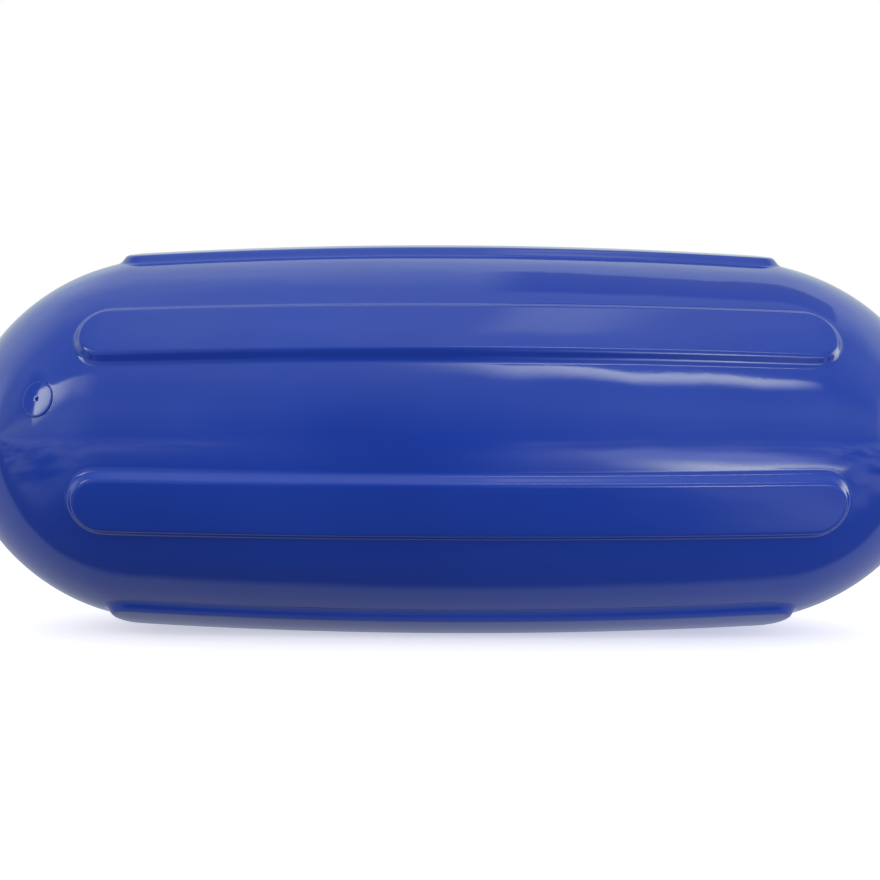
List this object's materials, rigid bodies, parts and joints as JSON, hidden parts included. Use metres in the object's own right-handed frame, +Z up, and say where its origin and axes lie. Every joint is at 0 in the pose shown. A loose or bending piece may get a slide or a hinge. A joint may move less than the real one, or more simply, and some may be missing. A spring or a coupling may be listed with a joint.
{
  "type": "boat fender",
  "caption": "Ribbed inflatable vinyl boat fender with a moulded rope eye at each end, for hanging between a hull and a dock.",
  "frame": {"origin": "below the middle of the fender, on the surface that its belly rests on", "axes": "+X along the fender, with the air valve towards -X; +Z up; the valve faces -Y"},
  "size_m": [0.686, 0.209, 0.209],
  "materials": {
    "blue_vinyl": "glossy"
  },
  "bodies": {
    "root": {"fender_body": "blue_vinyl", "valve_plug": "blue_vinyl"}
  },
  "joints": []
}
